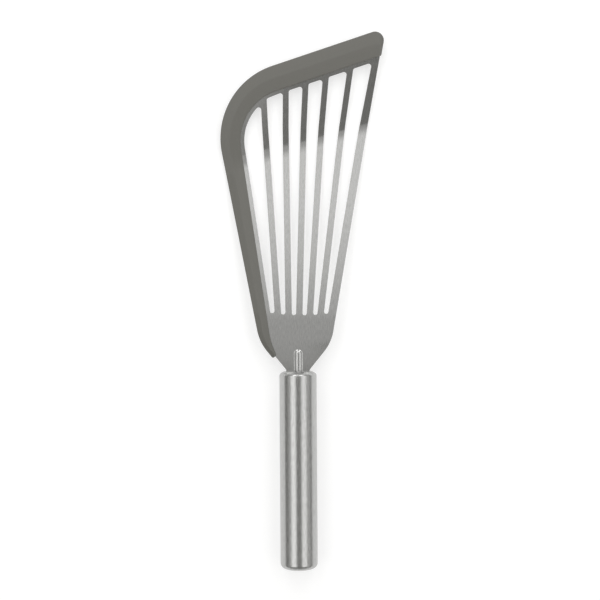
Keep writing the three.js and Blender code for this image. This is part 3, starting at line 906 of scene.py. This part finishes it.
# %% [markdown]
# ### Moulded silicone
#
# Food-grade silicone, moulded in a blasted steel tool, has a satin skin with a fine grain. The grain of
# the tool is about 0.1 mm; it is drawn at 0.5 mm so that it shows. To the eye it is an even grey with a
# faint sheen, which tells the bevel from the lip. Silicone's IOR is about 1.41.

# %% Silicone
GRAIN_MM = 0.5

silicone, tree = new_material("moulded_grey_silicone")
place = add(tree, "ShaderNodeTexCoord")
grain = add(
    tree, "ShaderNodeTexNoise",
    {"Vector": place.outputs["Object"], "Scale": 1 / (GRAIN_MM * MM), "Detail": 2.0},
)
tint = add(
    tree, "ShaderNodeMix",
    {"Factor": grain.outputs["Fac"], "A": linear("#6b6a65"), "B": linear("#706f6a")},
    data_type="RGBA",
)
bump = add(
    tree, "ShaderNodeBump", {"Height": grain.outputs["Fac"], "Strength": 0.15, "Distance": 0.05 * MM}
)
rubber = add(tree, "ShaderNodeBsdfPrincipled", {
    "Base Color": tint.outputs["Result"],
    "Roughness": 0.42,
    "IOR": 1.41,
    "Normal": bump.outputs["Normal"],
})
add(tree, "ShaderNodeOutputMaterial", {"Surface": rubber.outputs["BSDF"]})
soft_edge.data.materials.append(silicone)

# %% [markdown]
# ### The plug and pin inside the handle
#
# They never show, but they travel with the model, so they get their real finishes: a plug of natural
# moulded nylon, milky and faintly mottled, and a pin of bright drawn steel wire.

# %% Inner pieces
MOTTLE_MM = 2.5

nylon, tree = new_material("moulded_natural_nylon")
place = add(tree, "ShaderNodeTexCoord")
mottle = add(
    tree, "ShaderNodeTexNoise", {"Vector": place.outputs["Object"], "Scale": 1 / (MOTTLE_MM * MM)}
)
shade = add(
    tree, "ShaderNodeMix",
    {"Factor": mottle.outputs["Fac"], "A": linear("#d4d0c4"), "B": linear("#dcd9cf")},
    data_type="RGBA",
)
plastic = add(
    tree, "ShaderNodeBsdfPrincipled",
    {"Base Color": shade.outputs["Result"], "Roughness": 0.5, "IOR": 1.53},
)
add(tree, "ShaderNodeOutputMaterial", {"Surface": plastic.outputs["BSDF"]})

wire, tree = new_material("drawn_steel_wire")
steel = add(
    tree, "ShaderNodeBsdfPrincipled",
    {"Base Color": linear("#b4b4b3"), "Metallic": 1.0, "Roughness": 0.25},
)
add(tree, "ShaderNodeOutputMaterial", {"Surface": steel.outputs["BSDF"]})
for node, material in (("tang_plug", nylon), ("tang_pin", wire)):
    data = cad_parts[node].data
    data.materials.clear()
    data.materials.append(material)
print("materials:", ", ".join(sorted(material.name for material in bpy.data.materials)))

# %% [markdown]
# ## The studio
#
# Bright metal looks like what surrounds it, so the room matters more than the strength of the lamps.
# The table is white paper. Lamps alone would leave it grey, so it also glows a little for rays that
# come from the camera or from a mirror, and its shadows stay. The room is a plain grey, which the steel
# shows wherever no lamp is mirrored.

# %% The table
TABLE_HALF = 20
PAPER_GLOW = 0.6

table_corners = [(x * TABLE_HALF, y * TABLE_HALF, 0) for x, y in ((-1, -1), (1, -1), (1, 1), (-1, 1))]
floor_mesh = bpy.data.meshes.new("table")
floor_mesh.from_pydata(table_corners, [], [(0, 1, 2, 3)])
table = bpy.data.objects.new("table", floor_mesh)
bpy.context.scene.collection.objects.link(table)

paper, tree = new_material("white_paper_sweep")
matt = add(tree, "ShaderNodeBsdfDiffuse", {"Color": linear("#bcbcbc")})
rays = add(tree, "ShaderNodeLightPath")
seen = add(
    tree, "ShaderNodeMath",
    {0: rays.outputs["Is Camera Ray"], 1: rays.outputs["Is Glossy Ray"]},
    operation="MAXIMUM",
)
seen_through = add(
    tree, "ShaderNodeMath",
    {0: seen.outputs["Value"], 1: rays.outputs["Is Transmission Ray"]},
    operation="MAXIMUM",
)
lift = add(
    tree, "ShaderNodeMath", {0: seen_through.outputs["Value"], 1: PAPER_GLOW}, operation="MULTIPLY"
)
glow = add(tree, "ShaderNodeEmission", {"Color": (1, 1, 1, 1), "Strength": lift.outputs["Value"]})
both = add(tree, "ShaderNodeAddShader", {0: matt.outputs["BSDF"], 1: glow.outputs["Emission"]})
add(tree, "ShaderNodeOutputMaterial", {"Surface": both.outputs["Shader"]})
floor_mesh.materials.append(paper)

# %% The room
world = bpy.data.worlds.new("grey_room")
world.use_nodes = True
bpy.context.scene.world = world
world.node_tree.nodes.clear()
room = add(world.node_tree, "ShaderNodeBackground", {"Color": (0.282, 0.28, 0.268, 1), "Strength": 1.0})
add(world.node_tree, "ShaderNodeOutputWorld", {"Surface": room.outputs["Background"]})

# %% [markdown]
# ### The soft boxes
#
# Each box is an area lamp, because its mirror image then has the shape of the box and an even tone. Two
# long boxes left and right of the camera draw the bright stripes on the handle, and a dim flank beside
# each softens them. The strips under the ceiling grow brighter towards the back: the blade
# dips from the neck, so each part of it mirrors another strip, and its tone rises evenly until the tip
# bend turns it to the dark room. Two sloped boxes at the back give the soft edge a lighter bevel. The
# dim walls in front and behind keep the steel from turning black in low views.

# %% The soft boxes
SIDE_DISTANCE = 1.8
SIDE_LENGTH = 2.1
SIDE_MIDDLE_Y = -0.05
CEILING = 1.3


def soft_box(name, centre, turn, width, length, radiance):
    """A soft box as an area lamp of even brightness, turned by Euler angles in degrees."""
    lamp = bpy.data.lights.new(name, "AREA")
    lamp.shape = "RECTANGLE"
    lamp.size = width
    lamp.size_y = length
    lamp.energy = radiance * math.pi * width * length
    box = bpy.data.objects.new(name, lamp)
    box.location = centre
    box.rotation_euler = [math.radians(angle) for angle in turn]
    bpy.context.scene.collection.objects.link(box)


def side_box(name, near, far, radiance):
    """A box beside the table that spans two angles from the vertical: negative ones are on the left."""
    middle = (near + far) / 2
    swing = math.radians(middle)
    width = 2 * SIDE_DISTANCE * math.tan(math.radians(abs(far - near) / 2))
    centre = (SIDE_DISTANCE * math.sin(swing), SIDE_MIDDLE_Y, SIDE_DISTANCE * math.cos(swing))
    soft_box(name, centre, (0, middle, 0), width, SIDE_LENGTH, radiance)


side_box("left_soft_box", -15, -46, 1.29)
side_box("left_flank", -48, -66, 0.28)
side_box("right_soft_box", 18.5, 51, 1.14)
side_box("right_flank", 55, 76, 0.32)
for index, (start, end, left, right, radiance) in enumerate([
    (-0.12, -0.085, -0.13, 0.03, 0.35),
    (-0.085, -0.045, -0.13, 0.005, 0.35),
    (-0.045, 0, -0.13, 0.05, 0.35),
    (0, 0.06, -0.26, 0.07, 0.34),
    (0.06, 0.17, -0.26, 0.2, 0.34),
    (0.17, 0.22, -0.4, 0.4, 0.39),
    (0.22, 0.265, -0.4, 0.4, 0.51),
    (0.265, 0.31, -0.4, 0.4, 0.63),
    (0.31, 0.37, -0.4, 0.4, 0.73),
    (0.37, 0.9, -0.4, 0.4, 0.83),
]):
    centre = ((left + right) / 2, (start + end) / 2, CEILING)
    soft_box(f"ceiling_strip_{index}", centre, (0, 0, 0), right - left, end - start, radiance)
soft_box("back_slope_left", (-0.5, 1.2, 1.06), (-48.5, 0, 0), 0.6, 0.75, 3)
soft_box("back_slope_right", (0.5, 1.2, 1.06), (-48.5, 0, 0), 0.6, 0.75, 3)
soft_box("back_wall", (0, 1.6, 0.35), (-90, 0, 0), 4, 0.7, 0.5)
soft_box("front_wall", (0, -1.6, 0.45), (90, 0, 0), 4, 0.9, 0.35)
print("soft boxes:", len(bpy.data.lights))

# %% [markdown]
# ## The camera
#
# The picture is taken from straight above, 0.7 m over the handle. The camera is turned by a third
# of a degree, because the spatula lies that much askew in the photograph.

# %% Camera
CAMERA_HEIGHT = 0.711
CAMERA_RIGHT_MM = 1.465
CAMERA_AHEAD_MM = 41.5
CAMERA_ROLL = math.radians(-0.358)

lens = bpy.data.cameras.new("camera")
lens.sensor_width = 36
lens.lens = 71.43
camera = bpy.data.objects.new("camera", lens)
camera_x = tube_middle.x + CAMERA_RIGHT_MM * MM
camera.location = (camera_x, front_y + CAMERA_AHEAD_MM * MM, CAMERA_HEIGHT)
camera.rotation_euler = (0, 0, CAMERA_ROLL)
bpy.context.scene.collection.objects.link(camera)
bpy.context.scene.camera = camera
bpy.context.scene.view_settings.view_transform = "Standard"
